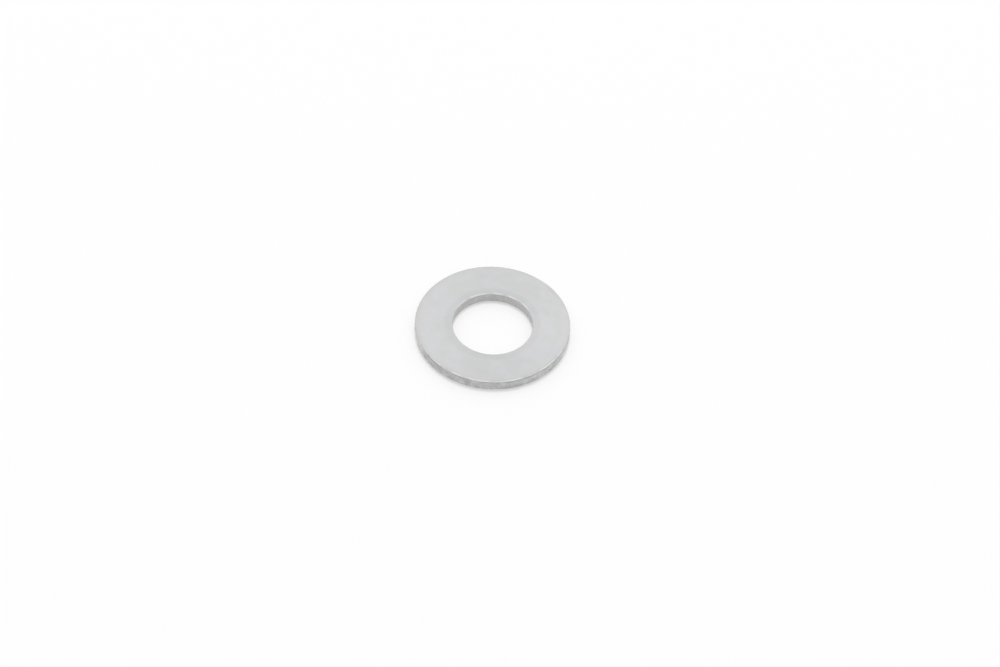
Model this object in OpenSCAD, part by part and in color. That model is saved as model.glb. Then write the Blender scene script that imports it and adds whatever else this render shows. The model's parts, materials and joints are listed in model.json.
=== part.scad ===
// Flat round washer, cut from steel strip in one press stroke and zinc plated.
// It lies flat: the underside is on z = 0 and the bolt hole runs along +Z.
// The press shears the rim and the hole from above. Each of these edges has, from the top down,
// a shallow roll-over, a tight brow, a smooth straight land, a fractured wall that leans away
// and a small tumbled round.

/* [Washer] */
// Outside diameter, measured on the land
outer_d = 12.5; // [11:0.1:16]
// Diameter of the bolt hole, measured on the land
bore_d = 6.48; // [5:0.02:8]
// Thickness of the strip
thickness = 0.88; // [0.7:0.02:1.6]

/* [Roll-over] */
// How far the roll-over reaches in from the rim across the upper face
rim_roll_w = 0.35; // [0.1:0.01:0.5]
// How far the roll-over has dropped where it reaches the rim
rim_roll_h = 0.02; // [0.01:0.005:0.04]
// How far the roll-over reaches out from the hole across the upper face
bore_roll_w = 0.7; // [0.3:0.01:0.9]
// How far the roll-over has dropped where it reaches the hole
bore_roll_h = 0.05; // [0.02:0.005:0.12]

/* [Sheared wall] */
// Radius of the brow between a roll-over and its land
brow_r = 0.02; // [0.01:0.005:0.04]
// Height of the smooth land
land_h = 0.3; // [0.1:0.01:0.4]
// How far the fractured wall leans back from the land at the underside
break_lean = 0.015; // [0.005:0.005:0.08]
// Radius left on the lower corners by tumbling
corner_r = 0.02; // [0.01:0.005:0.05]

/* [Hidden] */
$fn = 128;

outer_r = outer_d / 2;
bore_r = bore_d / 2;

// Overshoot of a cutting shape past the face that it cuts.
overcut = 0.1;

// The roll-over is an arc that leaves the upper face tangentially and drops by h over the width w.
function roll_radius(w, h) = (w * w + h * h) / (2 * h);

// The brow is an arc that touches both the roll-over and the land. This is the height of its centre.
function brow_z(w, h) =
    thickness - roll_radius(w, h)
    + sqrt(pow(roll_radius(w, h) - brow_r, 2) - pow(w - brow_r, 2));

// The waste outside one sheared edge, whose land stands on x = 0 with the metal at x > 0.
module edge_waste(roll_w, roll_h) {
    break_h = brow_z(roll_w, roll_h) - land_h;
    roll_waste(roll_w, roll_h);
    brow_waste(roll_w, roll_h);
    break_waste(break_h);
    corner_waste(atan2(break_lean, break_h));
}

// What the roll-over takes from the upper face.
module roll_waste(roll_w, roll_h) {
    roll_r = roll_radius(roll_w, roll_h);
    difference() {
        translate([-overcut, thickness - roll_h])
            square([roll_w + overcut, roll_h + overcut]);
        translate([roll_w, thickness - roll_r])
            circle(roll_r);
    }
}

// What the brow takes from the corner between the roll-over and the land.
module brow_waste(roll_w, roll_h) {
    roll_centre = [roll_w, thickness - roll_radius(roll_w, roll_h)];
    brow_centre = [brow_r, brow_z(roll_w, roll_h)];
    outward = (brow_centre - roll_centre) / norm(brow_centre - roll_centre);
    difference() {
        polygon([
            brow_centre,
            brow_centre + outward * (brow_r + overcut),
            [-overcut, thickness + overcut],
            [-overcut, brow_centre.y],
        ]);
        translate(brow_centre)
            circle(brow_r);
    }
}

// The wedge between the land's line and the fractured wall.
module break_waste(break_h) {
    polygon([
        [0, break_h],
        [-overcut, break_h],
        [-overcut, 0],
        [break_lean, 0],
    ]);
}

// What tumbling takes from the corner between the fractured wall and the underside.
module corner_waste(lean_angle) {
    reach = corner_r / tan((90 + lean_angle) / 2);
    foot = [break_lean + reach, 0];
    head = [break_lean - reach * sin(lean_angle), reach * cos(lean_angle)];
    centre = [foot.x, corner_r];
    difference() {
        polygon([[break_lean, 0], foot, centre, head]);
        translate(centre)
            circle(corner_r);
    }
}

// Half of the ring's cross-section, from the hole to the rim.
module ring_section() {
    difference() {
        translate([bore_r, 0])
            square([outer_r - bore_r, thickness]);
        translate([bore_r, 0])
            edge_waste(bore_roll_w, bore_roll_h);
        translate([outer_r, 0])
            mirror([1, 0])
                edge_waste(rim_roll_w, rim_roll_h);
    }
}

module washer() {
    color([0.82, 0.83, 0.83])
        rotate_extrude()
            ring_section();
}

washer();
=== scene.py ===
import json
import math

import bpy
import numpy as np
from mathutils import Matrix, Vector


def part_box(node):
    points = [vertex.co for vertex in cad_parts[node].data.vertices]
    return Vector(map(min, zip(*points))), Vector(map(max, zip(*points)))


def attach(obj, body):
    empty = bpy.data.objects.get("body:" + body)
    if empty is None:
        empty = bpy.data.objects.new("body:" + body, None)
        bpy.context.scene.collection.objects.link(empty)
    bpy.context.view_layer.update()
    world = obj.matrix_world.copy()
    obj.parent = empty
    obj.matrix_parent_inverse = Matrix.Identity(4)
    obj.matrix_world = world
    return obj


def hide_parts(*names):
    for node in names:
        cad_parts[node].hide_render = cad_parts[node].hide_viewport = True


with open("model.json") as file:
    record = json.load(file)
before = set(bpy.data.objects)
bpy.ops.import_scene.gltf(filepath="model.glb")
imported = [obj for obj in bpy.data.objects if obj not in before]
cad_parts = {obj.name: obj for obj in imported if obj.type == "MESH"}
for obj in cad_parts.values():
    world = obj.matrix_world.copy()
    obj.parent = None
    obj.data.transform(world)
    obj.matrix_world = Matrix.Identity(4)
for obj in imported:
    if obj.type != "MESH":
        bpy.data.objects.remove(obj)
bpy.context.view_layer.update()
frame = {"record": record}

MM = 0.001

# The washer's sizes, in millimetres: the box and the hole come from the frame, and the edges repeat the
# solid's. The wall's look starts a little over the centre of the brow
mounts = {mount["name"]: mount for mount in frame["record"]["mounts"]}
_, node_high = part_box("washer")
OUTER_R = node_high.x / MM
THICKNESS = node_high.z / MM
BORE_R = mounts["bolt_hole"]["dims"]["r_mm"]
RIM_LENGTH = 2 * math.pi * OUTER_R
BORE_LENGTH = 2 * math.pi * BORE_R
RIM_ROLL = {"width": 0.35, "drop": 0.02}
BORE_ROLL = {"width": 0.70, "drop": 0.05}
BROW_R = 0.02
LAND_H = 0.30
BREAK_LEAN = 0.015
CORNER_R = 0.02
WALL_START = 0.8 * BROW_R

# How finely the ring is divided: round it, and along each stretch of its section
AROUND = 960
FACE_STEPS = 18
ROLL_STEPS = 7
BROW_STEPS = 5
LAND_STEPS = 6
BREAK_STEPS = 10
CORNER_STEPS = 3
UNDER_STEPS = 8
TOP_EDGE_STEPS = ROLL_STEPS + BROW_STEPS
WALL_STEPS = LAND_STEPS + BREAK_STEPS + CORNER_STEPS

# How the sheared edges wander round the ring: the roll-overs as a share of their size, the rest in
# millimetres
WANDER_CELL = 2.2
ROLL_WIDTH_WANDER = 0.10
ROLL_DROP_WANDER = 0.06
LAND_FOOT_WANDER = {"depth": 0.05, "cell": 0.9}
LAND_FOOT_RAGGED = {"depth": 0.025, "cell": 0.3}
TORN_FADE_TOP = 0.06
TORN_FADE_FOOT = 0.04

# The relief of the walls and faces, in millimetres. The levels count a wave's cells from the underside up.
# The faces' relief fades out down the walls
WALL_WAVE = {"depth": 0.0035, "cell": 0.45, "levels": 2}
WALL_SCORE = {"depth": 0.0014, "cell": 0.13, "levels": 1}
TORN_COARSE = {"depth": 0.007, "cell": 0.22, "levels": 6}
TORN_FINE = {"depth": 0.003, "cell": 0.12, "levels": 12}
FACE_BROAD = {"depth": 0.0022, "cell": 1.1}
FACE_SMALL = {"depth": 0.0008, "cell": 0.45}
UPPER_RELIEF_FROM = 0.2
UPPER_RELIEF_FADE = 0.1
LOWER_RELIEF_FADE = 0.02

# How many shallow dents the faces have and how many small nicks the rim's upper edge has, and their sizes in
# millimetres. A nick also sinks the edge, by a share of its depth
DENTS = 36
DENT_WIDTHS = (0.10, 0.26)
DENT_DEPTHS = (0.001, 0.004)
NICKS = 70
NICK_WIDTHS = (0.04, 0.09)
NICK_DEPTHS = (0.008, 0.028)
NICK_REACH = 0.12
NICK_SINK = 0.5

# The seeds of the chance marks
RIM_EDGE_SEED = 11
BORE_EDGE_SEED = 31
RIM_WALL_SEED = 51
BORE_WALL_SEED = 71
UPPER_FACE_SEED = 91
LOWER_FACE_SEED = 111
NICK_SEED = 131
PAINTED_SHEEN_SEED = 2150
RIM_STAIN_SEED = 4894
BORE_STAIN_SEED = 31

# The layout for baking, as shares of its square
DISC_SIZE = 0.46
DISC_CENTRES = ((0.25, 0.75), (0.75, 0.75))
RIM_ROWS = 4
BORE_ROWS = 2
ROW_PITCH = 0.08
ROW_HEIGHT = 0.064
ROW_MARGIN = 0.008

# The plate's colours. The film's tints run from one side of its drift to the other
PLATE_GREY = (0.638, 0.639, 0.639, 1)
FILM_TINTS = (
    (0.00, (0.634, 0.632, 0.630)),
    (0.20, (0.615, 0.634, 0.625)),
    (0.40, (0.627, 0.640, 0.639)),
    (0.60, (0.636, 0.644, 0.660)),
    (0.80, (0.648, 0.638, 0.656)),
    (1.00, (0.642, 0.638, 0.638)),
)
# Painted shade for the roll-overs near the hole and near the rim
NEAR_HOLE_SHADE = (0.955, 0.965, 0.960, 1)
NEAR_RIM_SHADE = (0.955, 0.955, 0.950, 1)
PIT_COLOUR = (0.42, 0.42, 0.42, 1)
LAND_COLOUR = (0.565, 0.565, 0.565, 1)
LAND_STAIN = (0.50, 0.50, 0.495, 1)
TORN_COLOUR = (0.68, 0.68, 0.68, 1)
TORN_SHADE = (0.53, 0.53, 0.53, 1)
OLIVE_TINT = (0.98, 0.99, 0.955, 1)
# Painted shade under the walls' brow
UNDER_BROW_SHADE = (0.72, 0.72, 0.72, 1)
# The colour of the painted highlight along the upper edges
HIGHLIGHT_COLOUR = (0.83, 0.83, 0.83, 1)

# The marks: scales in cells per millimetre, cells, fades, reaches and depths in millimetres, the rest parts
# of one. A pair of levels says at which noise a patch begins and at which it is full
NOISE_MIDDLE = 0.5
EVEN_LEVELS = (0.3, 0.7)
FILM_SCALE = 0.42
FILM_LEVELS = (0.34, 0.66)
FILM_FADE = (0.9, 0.2)
NEAR_HOLE_FADE = (0.50, 0.78)
HOLE_EDGE_FADE = (0.05, 0.16)
HOLE_EDGE_SHARE = 0.2
NEAR_RIM_FADE = (0.50, 0.10)
NEAR_RIM_SCALE = 0.35
NEAR_RIM_LEVELS = (0.38, 0.56)
MOTTLE_SCALE = 0.9
MOTTLE_SWING = 0.012
# The painted sheen over the faces: its cell in millimetres and its swing
PAINTED_SHEEN_CELL = 6.0
PAINTED_SHEEN_SWING = 0.050
RIM_STAIN_CELL = 3.0
BORE_STAIN_CELL = 2.2
STAIN_SWING = 0.075
BORE_TONE = 0.955
PATCH_SCALE = 1.3
RIM_PATCH_SWING = 0.18
BORE_PATCH_SWING = 0.05
STREAK_SCALE = 6.0
STREAK_STRETCH = 0.06
TORN_SCALE = 7.0
TORN_GRAIN_SHARE = 0.8
WALL_LEVELS = (0.35, 0.65)
UNDER_BROW_FADE = (0.19, 0.11)
DARK_SCALE = 0.45
DARK_LEVELS = (0.38, 0.52)
BORE_DARK_SHARE = 0.3
# Painted light towards the walls' foot: its gain, and its reach in millimetres
FOOT_GAIN = 1.20
FOOT_REACH = 0.40
OLIVE_SCALE = 0.32
OLIVE_LEVELS = (0.56, 0.68)
PEEL_SCALE = 2.4
PEEL_DEPTH = 0.0020
GRAIN_SCALE = 11.0
GRAIN_DEPTH = 0.0005
MARK_DEPTH = 0.0012
STREAK_DEPTH = 0.002
TORN_DEPTH = 0.014
TORN_LEVEL = 0.62

# Sparse pits: their cells per millimetre, the chance that a cell has one, and where its edge fades, in cells
PIT_SCALE = 1.15
PIT_CHANCE = 0.07
PIT_EDGE = (0.03, 0.085)

# Hairlines, which follow a stretched noise: their width is a step of that noise, their turns are in radians
HAIRLINE_STRETCH = (0.35, 3.2, 1.0)
HAIRLINE_WIDTH = 0.006
HAIRLINE_BREAK_SCALE = 0.6
HAIRLINE_LEVELS = (0.56, 0.66)
HAIRLINE_TURNS = (0.4, 1.9)

# The painted highlight along each upper edge: its width, how it breaks up, how strong it is, and where round
# the ring it lies and fades
HIGHLIGHT_WIDTH = 0.15
HIGHLIGHT_FADE = 0.4 * HIGHLIGHT_WIDTH
HIGHLIGHT_SCALE = 0.9
HIGHLIGHT_LEVELS = (0.39, 0.55)
RIM_HIGHLIGHT_SHARE = 0.85
BORE_HIGHLIGHT_SHARE = 0.90
RIM_HIGHLIGHT_TURN = math.radians(275.0)
BORE_HIGHLIGHT_TURN = math.radians(85.0)
HIGHLIGHT_HALF_TURN = math.radians(80.0)
HIGHLIGHT_FADE_TURN = math.radians(40.0)

# How rough each surface is
FACE_ROUGH = 0.22
SATIN_SCALE = 1.6
SATIN_SWING = 0.025
LAND_ROUGH = 0.30
TORN_ROUGH = 0.46
HIGHLIGHT_ROUGH = 0.24

# The tent of soft light, as a share of white: its middle level, how much it gains towards its axis behind the
# washer, the bright patch below that axis, and what is left of it at the sides and at the horizon
TENT_MIDDLE = 0.54
TENT_SLOPE = 0.36
TENT_AXIS_HEIGHT = math.radians(53.0)
TENT_PATCH = 0.145
TENT_PATCH_HEIGHT = math.radians(42.0)
TENT_PATCH_RIM = math.radians(28.0)
TENT_SIDE = 0.6
TENT_SIDE_FROM = 0.2
TENT_LOW = 0.8
TENT_LOW_TO = 0.45

# The overhead lamp: what it adds to a white floor as a share of white, its height behind the washer, its
# angular radius, and its distance in metres
LAMP_LEVEL = 0.40
LAMP_HEIGHT = math.radians(74.0)
LAMP_SPREAD = math.radians(9.0)
LAMP_DISTANCE = 1.5

# The floor's own colour, what brings it up to white where it is seen or mirrored, and its radius in metres
FLOOR_GREY = 0.6
FLOOR_LIFT = 0.36
FLOOR_R = 2.0
FLOOR_SIDES = 128

# The photograph's camera: its height over the floor, its roll, its distance in millimetres, and its framing
VIEW_ELEVATION = math.radians(48.35)
VIEW_ROLL = math.radians(3.05)
VIEW_DISTANCE = 357.0
PIXELS_WIDE = 1000
PIXELS_HIGH = 667
SENSOR_WIDE = 36.0
PIXELS_PER_RADIUS = 77.65
CENTRE_PIXEL = (492.62, 323.67)
NEAREST_M = 0.005
FARTHEST_M = 20.0

angles = np.arange(AROUND) * (2 * math.pi / AROUND)


# Noise for the relief

def ease(share):
    return share * share * (3 - 2 * share)


def blend_cells(values, u, v, wrap_u):
    """Smooth values between the corners of a grid. u and v are counted in cells."""
    u_cell = np.floor(u).astype(int)
    v_cell = np.floor(v).astype(int)
    u_share = ease(u - u_cell)
    v_share = ease(v - v_cell)
    u_next = u_cell + 1
    if wrap_u:
        u_cell = u_cell % values.shape[0]
        u_next = u_next % values.shape[0]
    low = values[u_cell, v_cell] * (1 - u_share) + values[u_next, v_cell] * u_share
    high = values[u_cell, v_cell + 1] * (1 - u_share) + values[u_next, v_cell + 1] * u_share
    return low * (1 - v_share) + high * v_share


def ring_noise(seed, length, cell, levels=1, heights=None):
    """Noise from -1 to 1 that closes on itself round a wall. heights run from 0 to 1 up the wall."""
    if heights is None:
        heights = np.zeros((AROUND, 1))
    cells = int(length / cell)
    values = np.random.default_rng(seed).uniform(-1, 1, (cells, levels + 2))
    u = np.broadcast_to((angles / (2 * math.pi) * cells)[:, None], heights.shape)
    return blend_cells(values, u, np.clip(heights, 0, 1) * levels, True)


def plane_noise(seed, cell, x, y):
    """Noise from -1 to 1 over the washer's plane."""
    cells = int(2 * OUTER_R / cell) + 3
    values = np.random.default_rng(seed).uniform(-1, 1, (cells, cells))
    return blend_cells(values, (x + OUTER_R) / cell, (y + OUTER_R) / cell, False)


# The ring's form

def edge_section(roll, length, seed):
    """One sheared edge, from the upper face down to the underside. Returns how far each point lies inside the
    land's line, its height, and how much of the fracture, the wall and the painted highlight it shows."""
    wander = ring_noise(seed, length, WANDER_CELL)
    width = roll["width"] * (1 + ROLL_WIDTH_WANDER * wander)
    drop = roll["drop"] * (1 + ROLL_DROP_WANDER * wander)
    roll_r = (width**2 + drop**2) / (2 * drop)
    brow_z = THICKNESS - roll_r + np.sqrt((roll_r - BROW_R) ** 2 - (width - BROW_R) ** 2)
    meet = np.arcsin((width - BROW_R) / (roll_r - BROW_R))
    roll_turn = np.linspace(0, 1, ROLL_STEPS + 1)[None, :] * meet
    roll_in = width - roll_r * np.sin(roll_turn)
    roll_z = THICKNESS - roll_r + roll_r * np.cos(roll_turn)

    brow_turn = meet + np.linspace(0, 1, BROW_STEPS + 1)[None, 1:] * (math.pi / 2 - meet)
    brow_in = BROW_R - BROW_R * np.sin(brow_turn)
    brow_h = brow_z + BROW_R * np.cos(brow_turn)

    foot_z = brow_z - LAND_H
    foot_z = foot_z + LAND_FOOT_WANDER["depth"] * ring_noise(seed + 1, length, LAND_FOOT_WANDER["cell"])
    foot_z = foot_z + LAND_FOOT_RAGGED["depth"] * ring_noise(seed + 2, length, LAND_FOOT_RAGGED["cell"])
    land_share = np.linspace(0, 1, LAND_STEPS + 1)[None, 1:]
    land_z = brow_z + (foot_z - brow_z) * land_share
    land_in = np.zeros_like(land_z)

    lean_angle = np.arctan2(BREAK_LEAN, foot_z)
    reach = CORNER_R / np.tan((math.pi / 2 + lean_angle) / 2)
    break_share = np.linspace(0, 1, BREAK_STEPS + 1)[None, 1:]
    head_z = reach * np.cos(lean_angle)
    break_z = foot_z + (head_z - foot_z) * break_share
    break_in = BREAK_LEAN * (1 - break_z / foot_z)

    corner_turn = lean_angle + np.linspace(0, 1, CORNER_STEPS + 1)[None, 1:] * (math.pi / 2 - lean_angle)
    corner_in = BREAK_LEAN + reach - CORNER_R * np.cos(corner_turn)
    corner_z = CORNER_R - CORNER_R * np.sin(corner_turn)

    inset = np.hstack([roll_in, brow_in, land_in, break_in, corner_in])
    height = np.hstack([roll_z, brow_h, land_z, break_z, corner_z])
    torn = np.clip((foot_z - height) / TORN_FADE_TOP, 0, 1) * np.clip(height / TORN_FADE_FOOT, 0, 1)
    wall = np.clip((brow_z + WALL_START - height) / BROW_R, 0, 1) * np.clip(height / CORNER_R, 0, 1)
    painted_highlight = np.clip((HIGHLIGHT_WIDTH - inset) / HIGHLIGHT_FADE, 0, 1) * np.clip((height - brow_z) / BROW_R, 0, 1)
    return inset, height, torn, wall, painted_highlight


def wall_relief(height, torn, wall, length, seed):
    """How far the wall stands out from its smooth form, in millimetres."""
    share = height / THICKNESS

    def wave(step, form):
        return form["depth"] * ring_noise(seed + step, length, form["cell"], form["levels"], share)

    smooth_part = wave(0, WALL_WAVE) + wave(1, WALL_SCORE)
    torn_part = wave(2, TORN_COARSE) + wave(3, TORN_FINE)
    return wall * smooth_part + torn * torn_part


def face_relief(x, y, seed):
    """How far a face lies below its flat form, in millimetres: the strip's waviness and shallow dents."""
    broad = FACE_BROAD["depth"] * (1 + plane_noise(seed, FACE_BROAD["cell"], x, y))
    small = FACE_SMALL["depth"] * (1 + plane_noise(seed + 1, FACE_SMALL["cell"], x, y))
    relief = broad + small
    chance = np.random.default_rng(seed + 2)
    for _ in range(DENTS):
        place_r = chance.uniform(BORE_R, OUTER_R)
        place_turn = chance.uniform(0, 2 * math.pi)
        width = chance.uniform(*DENT_WIDTHS)
        depth = chance.uniform(*DENT_DEPTHS)
        apart = (x - place_r * math.cos(place_turn)) ** 2 + (y - place_r * math.sin(place_turn)) ** 2
        relief = relief + depth * np.exp(-apart / width**2)
    return relief


def edge_nicks(length, seed):
    """How deep each place round an edge is nicked, in millimetres."""
    chance = np.random.default_rng(seed)
    depth = np.zeros((AROUND, 1))
    for _ in range(NICKS):
        place = chance.uniform(0, length)
        width = chance.uniform(*NICK_WIDTHS)
        deep = chance.uniform(*NICK_DEPTHS)
        apart = np.abs(angles[:, None] / (2 * math.pi) * length - place)
        apart = np.minimum(apart, length - apart)
        depth = np.maximum(depth, deep * np.exp(-((apart / width) ** 2)))
    return depth


def highlight_stretch(middle):
    """How much painted highlight each place round an edge takes. It lies on one side and fades from there."""
    away = np.abs((angles - middle + math.pi) % (2 * math.pi) - math.pi)
    return ease(np.clip((HIGHLIGHT_HALF_TURN - away) / HIGHLIGHT_FADE_TURN, 0, 1))[:, None]


def build_ring():
    """The ring's points by angle and place on the section, with what the material reads at each."""
    rim_in, rim_z, rim_torn, rim_wall, rim_highlight = edge_section(RIM_ROLL, RIM_LENGTH, RIM_EDGE_SEED)
    bore_in, bore_z, bore_torn, bore_wall, bore_highlight = edge_section(BORE_ROLL, BORE_LENGTH, BORE_EDGE_SEED)
    nick = edge_nicks(RIM_LENGTH, NICK_SEED) * np.clip((rim_z - THICKNESS + NICK_REACH) / NICK_REACH, 0, 1)
    rim_in = np.maximum(rim_in - wall_relief(rim_z, rim_torn, rim_wall, RIM_LENGTH, RIM_WALL_SEED), 0)
    rim_in = rim_in + nick * np.clip(1 - rim_in / NICK_REACH, 0, 1)
    rim_z = rim_z - NICK_SINK * nick * np.clip(1 - rim_in / NICK_REACH, 0, 1)
    bore_in = np.maximum(bore_in - wall_relief(bore_z, bore_torn, bore_wall, BORE_LENGTH, BORE_WALL_SEED), 0)
    rim_radius = OUTER_R - rim_in
    bore_radius = BORE_R + bore_in

    face_share = np.linspace(0, 1, FACE_STEPS + 1)[None, 1:-1]
    face_radius = bore_radius[:, :1] + (rim_radius[:, :1] - bore_radius[:, :1]) * face_share
    face_z = np.full_like(face_radius, THICKNESS)
    under_share = np.linspace(0, 1, UNDER_STEPS + 1)[None, 1:-1]
    under_radius = rim_radius[:, -1:] + (bore_radius[:, -1:] - rim_radius[:, -1:]) * under_share
    under_z = np.zeros_like(under_radius)

    radius = np.hstack([face_radius, rim_radius, under_radius, bore_radius[:, ::-1]])
    height = np.hstack([face_z, rim_z, under_z, bore_z[:, ::-1]])
    plain_face = np.zeros_like(face_z)
    plain_under = np.zeros_like(under_z)
    torn = np.hstack([plain_face, rim_torn, plain_under, bore_torn[:, ::-1]])
    sheared = np.hstack([plain_face, rim_wall, plain_under, bore_wall[:, ::-1]])
    rim_highlight = RIM_HIGHLIGHT_SHARE * highlight_stretch(RIM_HIGHLIGHT_TURN) * rim_highlight
    bore_highlight = BORE_HIGHLIGHT_SHARE * highlight_stretch(BORE_HIGHLIGHT_TURN) * bore_highlight
    painted_highlight = np.hstack([plain_face, rim_highlight, plain_under, bore_highlight[:, ::-1]])

    x = radius * np.cos(angles)[:, None]
    y = radius * np.sin(angles)[:, None]
    upper = np.clip((height - THICKNESS + UPPER_RELIEF_FROM) / UPPER_RELIEF_FADE, 0, 1)
    lower = np.clip((LOWER_RELIEF_FADE - height) / LOWER_RELIEF_FADE, 0, 1)
    height = height - upper * face_relief(x, y, UPPER_FACE_SEED) + lower * face_relief(x, y, LOWER_FACE_SEED)
    points = np.stack([x, y, np.clip(height, 0, THICKNESS)], axis=-1)

    # Painted sheen on the faces, and stains that differ at random on the walls
    painted_sheen = 1 + PAINTED_SHEEN_SWING * plane_noise(PAINTED_SHEEN_SEED, PAINTED_SHEEN_CELL, x, y)
    rim_stain = 1 + STAIN_SWING * ring_noise(RIM_STAIN_SEED, RIM_LENGTH, RIM_STAIN_CELL)
    bore_stain = BORE_TONE + STAIN_SWING * ring_noise(BORE_STAIN_SEED, BORE_LENGTH, BORE_STAIN_CELL)
    stain = np.where(radius > (BORE_R + OUTER_R) / 2, rim_stain, bore_stain)
    painted_sheen_and_stain = painted_sheen * (1 - sheared) + stain * sheared
    return points, {"torn": torn, "sheared": sheared, "painted_highlight": painted_highlight, "painted_sheen_and_stain": painted_sheen_and_stain}


def bake_map(points):
    """A flat layout of the ring's faces: both discs side by side, and both walls unrolled in rows below."""
    steps = points.shape[1]
    turn = np.arange(AROUND)[:, None, None] + np.array([0, 1, 1, 0])[None, None, :]
    place = np.arange(steps)[None, :, None] + np.array([0, 0, 1, 1])[None, None, :]
    turn, place = np.broadcast_arrays(turn, place)
    corner = points[turn % AROUND, place % steps]
    disc = corner[..., :2] / (2 * OUTER_R) * DISC_SIZE
    layout = np.array(DISC_CENTRES[0]) + disc

    def unroll(first_face, rows, top_row):
        faces = slice(first_face, first_face + WALL_STEPS)
        per_row = AROUND // rows
        row = np.arange(AROUND)[:, None, None] // per_row
        along = (turn[:, faces] - row * per_row) / per_row
        level = corner[:, faces, :, 2] / THICKNESS
        layout[:, faces, :, 0] = ROW_MARGIN + (1 - 2 * ROW_MARGIN) * along
        layout[:, faces, :, 1] = (top_row + row) * ROW_PITCH + ROW_MARGIN + ROW_HEIGHT * level

    rim_wall = FACE_STEPS - 1 + TOP_EDGE_STEPS
    underside = rim_wall + WALL_STEPS
    bore_wall = underside + UNDER_STEPS
    layout[:, underside:bore_wall] = np.array(DISC_CENTRES[1]) + disc[:, underside:bore_wall] * (1, -1)
    unroll(rim_wall, RIM_ROWS, 0)
    unroll(bore_wall, BORE_ROWS, RIM_ROWS)
    return layout


def ring_mesh(name):
    points, marks = build_ring()
    steps = points.shape[1]
    here = np.arange(AROUND)[:, None] * steps + np.arange(steps)[None, :]
    onward = np.roll(here, -1, axis=0)
    faces = np.stack([here, onward, np.roll(onward, -1, axis=1), np.roll(here, -1, axis=1)], axis=-1)
    mesh = bpy.data.meshes.new(name)
    mesh.from_pydata((points.reshape(-1, 3) * MM).tolist(), [], faces.reshape(-1, 4)[:, ::-1].tolist())
    for key, values in marks.items():
        layer = mesh.attributes.new(key, "FLOAT", "POINT")
        layer.data.foreach_set("value", values.reshape(-1).astype(np.float32))
    flat = mesh.uv_layers.new(name="OFBake")
    flat.data.foreach_set("uv", bake_map(points)[:, :, ::-1].reshape(-1).astype(np.float32))
    mesh.shade_smooth()
    mesh.update()
    return mesh


# Materials

class Graph:
    """Adds shader nodes to a tree. Each value is a number, a colour or another node's output."""

    def __init__(self, tree):
        self.tree = tree

    def node(self, kind, **settings):
        made = self.tree.nodes.new("ShaderNode" + kind)
        for name, value in settings.items():
            setattr(made, name, value)
        return made

    def plug(self, value, socket):
        if isinstance(value, bpy.types.NodeSocket):
            self.tree.links.new(value, socket)
        else:
            socket.default_value = value

    def math(self, operation, first, second=0.0):
        made = self.node("Math", operation=operation)
        self.plug(first, made.inputs[0])
        self.plug(second, made.inputs[1])
        return made.outputs[0]

    def vector(self, operation, first, second):
        made = self.node("VectorMath", operation=operation)
        self.plug(first, made.inputs[0])
        self.plug(second, made.inputs[1])
        return made

    def remap(self, value, low, high, to_low=0.0, to_high=1.0, smooth=False):
        made = self.node("MapRange", interpolation_type="SMOOTHSTEP" if smooth else "LINEAR")
        for socket, item in zip(made.inputs, (value, low, high, to_low, to_high)):
            self.plug(item, socket)
        return made.outputs["Result"]

    def noise(self, place, scale, detail=2.0, roughness=0.5):
        made = self.node("TexNoise")
        self.plug(place, made.inputs["Vector"])
        self.plug(scale, made.inputs["Scale"])
        self.plug(detail, made.inputs["Detail"])
        self.plug(roughness, made.inputs["Roughness"])
        return made.outputs["Fac"]

    def mix(self, share, first, second, blend="MIX"):
        """Mixes two colours, which the Mix node takes at inputs 6 and 7."""
        made = self.node("Mix", data_type="RGBA", blend_type=blend)
        for index, item in ((0, share), (6, first), (7, second)):
            self.plug(item, made.inputs[index])
        return made.outputs[2]

    def blend(self, share, first, second):
        """Mixes two numbers, which the Mix node takes at inputs 2 and 3."""
        made = self.node("Mix", data_type="FLOAT")
        for index, item in ((0, share), (2, first), (3, second)):
            self.plug(item, made.inputs[index])
        return made.outputs[0]

    def ramp(self, value, stops):
        made = self.node("ValToRGB")
        elements = made.color_ramp.elements
        for index, (place, colour) in enumerate(stops):
            element = elements[index] if index < 2 else elements.new(place)
            element.position = place
            element.color = (*colour, 1)
        self.plug(value, made.inputs["Fac"])
        return made.outputs["Color"]

    def attribute(self, name):
        return self.node("Attribute", attribute_name=name).outputs["Fac"]


def new_material(name):
    material = bpy.data.materials.new(name)
    material.use_nodes = True
    return material, Graph(material.node_tree), material.node_tree.nodes["Principled BSDF"]


def hairlines(graph, place, turn):
    """Thin, long, broken lines that run one way, from 0 to 1."""
    stretched = graph.node("Mapping")
    graph.plug(place, stretched.inputs["Vector"])
    stretched.inputs["Rotation"].default_value = (0, 0, turn)
    stretched.inputs["Scale"].default_value = HAIRLINE_STRETCH
    along = stretched.outputs[0]
    swell = graph.noise(along, 1.0, detail=1.0)
    contour = graph.math("ABSOLUTE", graph.math("SUBTRACT", swell, NOISE_MIDDLE))
    line = graph.remap(contour, 0, HAIRLINE_WIDTH, 1, 0)
    stretch_of_line = graph.remap(graph.noise(along, HAIRLINE_BREAK_SCALE, detail=0.0), *HAIRLINE_LEVELS)
    return graph.math("MULTIPLY", line, stretch_of_line)


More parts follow.
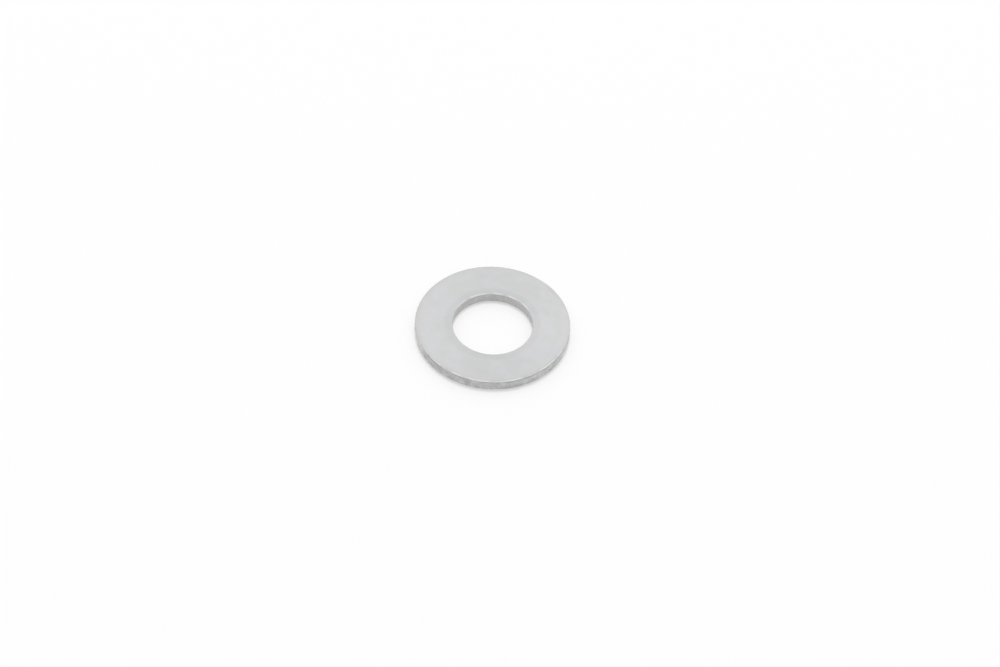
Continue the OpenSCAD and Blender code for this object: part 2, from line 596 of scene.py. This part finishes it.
def plate_material():
    """Bright zinc over pressed steel. A thin passive film tints the faces. The sheared walls are duller."""
    material, graph, shader = new_material("zinc_plate")
    sheared = graph.attribute("sheared")
    torn = graph.attribute("torn")
    local = graph.node("TexCoord").outputs["Object"]
    place = graph.vector("MULTIPLY", local, (1 / MM, 1 / MM, 1 / MM)).outputs["Vector"]
    flat_place = graph.vector("MULTIPLY", place, (1, 1, 0)).outputs["Vector"]
    radius = graph.vector("LENGTH", flat_place, (0, 0, 0)).outputs["Value"]
    from_hole = graph.math("SUBTRACT", radius, BORE_R)
    upright = graph.vector("MULTIPLY", place, (1, 1, STREAK_STRETCH)).outputs["Vector"]
    axes = graph.node("SeparateXYZ")
    graph.plug(place, axes.inputs[0])
    height = axes.outputs["Z"]

    # The film's tint drifts over the face in patches and fades towards the rim
    drift = graph.remap(graph.noise(flat_place, FILM_SCALE, roughness=0.45), *FILM_LEVELS)
    film = graph.ramp(drift, FILM_TINTS)
    film_from, film_to = (OUTER_R - depth for depth in FILM_FADE)
    film_share = graph.remap(radius, film_from, film_to, 1, 0, smooth=True)
    film = graph.mix(film_share, PLATE_GREY, film)

    # Painted shade on both roll-overs, a little tinted: near the hole, though not right at its edge, and in
    # patches near the rim
    near_hole = graph.remap(from_hole, *NEAR_HOLE_FADE, 1, 0, smooth=True)
    off_edge = graph.remap(from_hole, *HOLE_EDGE_FADE, HOLE_EDGE_SHARE, 1, smooth=True)
    film = graph.mix(graph.math("MULTIPLY", near_hole, off_edge), film, NEAR_HOLE_SHADE, "MULTIPLY")
    rim_shade_from, rim_shade_to = (OUTER_R - depth for depth in NEAR_RIM_FADE)
    near_rim = graph.remap(radius, rim_shade_from, rim_shade_to, 0, 1, smooth=True)
    rim_shade_stretch = graph.remap(graph.noise(flat_place, NEAR_RIM_SCALE, detail=1.0), *NEAR_RIM_LEVELS)
    film = graph.mix(graph.math("MULTIPLY", near_rim, rim_shade_stretch), film, NEAR_RIM_SHADE, "MULTIPLY")
    mottle = graph.noise(flat_place, MOTTLE_SCALE, detail=3.0)
    mottle = graph.remap(mottle, *EVEN_LEVELS, 1 - MOTTLE_SWING, 1 + MOTTLE_SWING)
    face = graph.mix(1.0, film, mottle, "MULTIPLY")

    # Sparse dark pits
    cells = graph.node("TexVoronoi")
    graph.plug(flat_place, cells.inputs["Vector"])
    graph.plug(PIT_SCALE, cells.inputs["Scale"])
    chosen = graph.math("GREATER_THAN", cells.outputs["Color"], 1 - PIT_CHANCE)
    pit = graph.math("MULTIPLY", graph.remap(cells.outputs["Distance"], *PIT_EDGE, 1, 0), chosen)
    face = graph.mix(pit, face, PIT_COLOUR)

    # The land is scored by the punch, and the fracture below it is a matt grain
    streak = graph.noise(upright, STREAK_SCALE, detail=3.0, roughness=0.6)
    grain = graph.noise(place, TORN_SCALE, detail=4.0, roughness=0.6)
    land = graph.mix(graph.remap(streak, *WALL_LEVELS), LAND_STAIN, LAND_COLOUR)
    torn_mark = graph.blend(TORN_GRAIN_SHARE, streak, grain)
    fracture = graph.mix(graph.remap(torn_mark, *WALL_LEVELS), TORN_SHADE, TORN_COLOUR)
    wall = graph.mix(torn, land, fracture)

    # Both walls are patchy, with a broken line of painted shade under the brow, painted light towards the
    # foot and olive tints in places
    patch = graph.remap(graph.noise(place, PATCH_SCALE, detail=3.0, roughness=0.6), *EVEN_LEVELS, -1, 1)
    patch_swing = graph.remap(radius, BORE_R, OUTER_R, BORE_PATCH_SWING, RIM_PATCH_SWING)
    patch = graph.math("ADD", graph.math("MULTIPLY", patch, patch_swing), 1)
    wall = graph.mix(1.0, wall, patch, "MULTIPLY")
    # Painted shade: a broken dark line under the brow, weaker in the bore than on the rim
    dark_from, dark_to = (THICKNESS - depth for depth in UNDER_BROW_FADE)
    under_brow = graph.remap(height, dark_from, dark_to, 0, 1, smooth=True)
    dark_stretch = graph.remap(graph.noise(flat_place, DARK_SCALE), *DARK_LEVELS)
    dark_share = graph.remap(radius, BORE_R, OUTER_R, BORE_DARK_SHARE, 1)
    dark_line = graph.math("MULTIPLY", graph.math("MULTIPLY", under_brow, dark_stretch), dark_share)
    wall = graph.mix(dark_line, wall, UNDER_BROW_SHADE, "MULTIPLY")
    # Painted light: the walls are lighter towards the foot
    foot = graph.remap(height, 0, FOOT_REACH, FOOT_GAIN, 1, smooth=True)
    wall = graph.mix(1.0, wall, foot, "MULTIPLY")
    olive = graph.remap(graph.noise(place, OLIVE_SCALE, detail=1.0), *OLIVE_LEVELS)
    wall = graph.mix(olive, wall, OLIVE_TINT, "MULTIPLY")

    # The painted sheen on the faces and the stains on the walls, then a painted highlight along the upper
    # edges in places
    colour = graph.mix(1.0, graph.mix(sheared, face, wall), graph.attribute("painted_sheen_and_stain"), "MULTIPLY")
    highlight_mark = graph.remap(graph.noise(flat_place, HIGHLIGHT_SCALE), *HIGHLIGHT_LEVELS)
    painted_highlight = graph.math("MULTIPLY", graph.attribute("painted_highlight"), highlight_mark)
    graph.plug(graph.mix(painted_highlight, colour, HIGHLIGHT_COLOUR), shader.inputs["Base Color"])

    # Roughness follows the same marks
    satin = graph.noise(flat_place, SATIN_SCALE)
    face_rough = graph.remap(satin, *EVEN_LEVELS, FACE_ROUGH - SATIN_SWING, FACE_ROUGH + SATIN_SWING)
    wall_rough = graph.blend(torn, LAND_ROUGH, TORN_ROUGH)
    rough = graph.blend(sheared, face_rough, wall_rough)
    graph.plug(graph.blend(painted_highlight, rough, HIGHLIGHT_ROUGH), shader.inputs["Roughness"])

    # Relief too fine for the mesh, in millimetres
    peel = graph.math("MULTIPLY", graph.noise(flat_place, PEEL_SCALE), PEEL_DEPTH)
    fine = graph.noise(flat_place, GRAIN_SCALE, detail=4.0, roughness=0.6)
    fine = graph.math("MULTIPLY", fine, GRAIN_DEPTH)
    lines = [hairlines(graph, flat_place, turn) for turn in HAIRLINE_TURNS]
    marks = graph.math("MAXIMUM", graph.math("MAXIMUM", *lines), pit)
    marks = graph.math("MULTIPLY", marks, MARK_DEPTH)
    face_height = graph.math("SUBTRACT", graph.math("ADD", peel, fine), marks)
    land_height = graph.math("MULTIPLY", graph.math("SUBTRACT", streak, NOISE_MIDDLE), STREAK_DEPTH)
    torn_height = graph.math("MULTIPLY", graph.math("SUBTRACT", grain, TORN_LEVEL), TORN_DEPTH)
    wall_height = graph.blend(torn, land_height, torn_height)
    bump = graph.node("Bump")
    bump.inputs["Distance"].default_value = MM
    graph.plug(graph.blend(sheared, face_height, wall_height), bump.inputs["Height"])
    graph.plug(bump.outputs["Normal"], shader.inputs["Normal"])
    shader.inputs["Metallic"].default_value = 1.0
    return material


def floor_material():
    """Pale paper. What lifts it to white shows only to the eye and in mirrors, so it lights nothing."""
    material, graph, shader = new_material("pale_floor")
    shader.inputs["Base Color"].default_value = (FLOOR_GREY, FLOOR_GREY, FLOOR_GREY, 1)
    shader.inputs["Roughness"].default_value = 1.0
    shader.inputs["Specular IOR Level"].default_value = 0.0
    shader.inputs["Emission Color"].default_value = (1, 1, 1, 1)
    ray = graph.node("LightPath")
    seen = graph.math("MAXIMUM", ray.outputs["Is Camera Ray"], ray.outputs["Is Glossy Ray"])
    seen = graph.math("MAXIMUM", seen, ray.outputs["Is Transmission Ray"])
    graph.plug(graph.math("MULTIPLY", seen, FLOOR_LIFT), shader.inputs["Emission Strength"])
    return material


# The stage, the light and the camera

def make_floor():
    bpy.ops.mesh.primitive_circle_add(
        vertices=FLOOR_SIDES, radius=FLOOR_R, fill_type="NGON", location=(0, 0, 0)
    )
    floor = bpy.context.object
    floor.name = "floor"
    floor.data.materials.append(floor_material())


def above_back(height):
    """The direction that stands at this angle over the horizon behind the washer."""
    return Vector((0, math.cos(height), math.sin(height)))


def make_world():
    """A soft white tent, brightest high behind the washer and dimmer at the sides, low and in front."""
    world = bpy.data.worlds.new("soft_tent")
    bpy.context.scene.world = world
    world.use_nodes = True
    graph = Graph(world.node_tree)
    direction = graph.node("TexCoord").outputs["Generated"]
    towards = graph.vector("DOT_PRODUCT", direction, above_back(TENT_AXIS_HEIGHT)).outputs["Value"]
    slope = graph.remap(towards, -1, 1, TENT_MIDDLE - TENT_SLOPE, TENT_MIDDLE + TENT_SLOPE)
    to_patch = graph.vector("DOT_PRODUCT", direction, above_back(TENT_PATCH_HEIGHT)).outputs["Value"]
    patch = graph.remap(to_patch, math.cos(TENT_PATCH_RIM), 1, 0, TENT_PATCH, smooth=True)
    along = graph.node("SeparateXYZ")
    graph.plug(direction, along.inputs[0])
    sideways = graph.math("ABSOLUTE", along.outputs["X"])
    side_fall = graph.remap(sideways, TENT_SIDE_FROM, 1, 1, TENT_SIDE, smooth=True)
    low_fall = graph.remap(along.outputs["Z"], 0, TENT_LOW_TO, TENT_LOW, 1, smooth=True)
    fall = graph.math("MULTIPLY", side_fall, low_fall)
    tent = graph.math("MULTIPLY", graph.math("ADD", slope, patch), fall)
    background = world.node_tree.nodes["Background"]
    background.inputs["Color"].default_value = (1, 1, 1, 1)
    graph.plug(tent, background.inputs["Strength"])


def make_lamp():
    """A round overhead lamp, a little behind the washer. It lights the floor, and metal doesn't mirror it."""
    radius = LAMP_DISTANCE * math.tan(LAMP_SPREAD)
    radiance = LAMP_LEVEL / (math.sin(LAMP_SPREAD) ** 2 * math.sin(LAMP_HEIGHT))
    data = bpy.data.lights.new("overhead_lamp", "AREA")
    data.shape = "DISK"
    data.size = 2 * radius
    data.energy = radiance * math.pi * math.pi * radius**2
    lamp = bpy.data.objects.new("overhead_lamp", data)
    bpy.context.scene.collection.objects.link(lamp)
    towards = above_back(LAMP_HEIGHT)
    lamp.location = towards * LAMP_DISTANCE
    lamp.rotation_euler = towards.to_track_quat("Z", "Y").to_euler()
    lamp.visible_glossy = False


def make_camera():
    scene = bpy.context.scene
    data = bpy.data.cameras.new("camera")
    camera = bpy.data.objects.new("camera", data)
    scene.collection.objects.link(camera)
    scene.camera = camera
    focal_pixels = PIXELS_PER_RADIUS * VIEW_DISTANCE / OUTER_R
    data.sensor_fit = "HORIZONTAL"
    data.sensor_width = SENSOR_WIDE
    data.lens = focal_pixels * SENSOR_WIDE / PIXELS_WIDE
    data.clip_start = NEAREST_M
    data.clip_end = FARTHEST_M

    back = Vector((0, -math.cos(VIEW_ELEVATION), math.sin(VIEW_ELEVATION)))
    level_right = Vector((1, 0, 0))
    level_up = Vector((0, math.sin(VIEW_ELEVATION), math.cos(VIEW_ELEVATION)))
    right = level_right * math.cos(VIEW_ROLL) + level_up * math.sin(VIEW_ROLL)
    up = level_up * math.cos(VIEW_ROLL) - level_right * math.sin(VIEW_ROLL)
    pixel_mm = VIEW_DISTANCE / focal_pixels
    shift_right = (PIXELS_WIDE / 2 - CENTRE_PIXEL[0]) * pixel_mm
    shift_up = (CENTRE_PIXEL[1] - PIXELS_HIGH / 2) * pixel_mm
    aim = Vector((0, 0, THICKNESS)) + right * shift_right + up * shift_up
    place = (aim + back * VIEW_DISTANCE) * MM
    axes = Matrix((right, up, back)).transposed().to_4x4()
    camera.matrix_world = Matrix.Translation(place) @ axes


def make_washer():
    piece = bpy.data.objects.new("plated_washer", ring_mesh("plated_washer"))
    bpy.context.scene.collection.objects.link(piece)
    piece.data.materials.append(plate_material())
    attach(piece, "root")
    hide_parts("washer")


make_camera()
make_world()
make_lamp()
make_floor()
make_washer()

bpy.context.scene.view_settings.view_transform = "Standard"
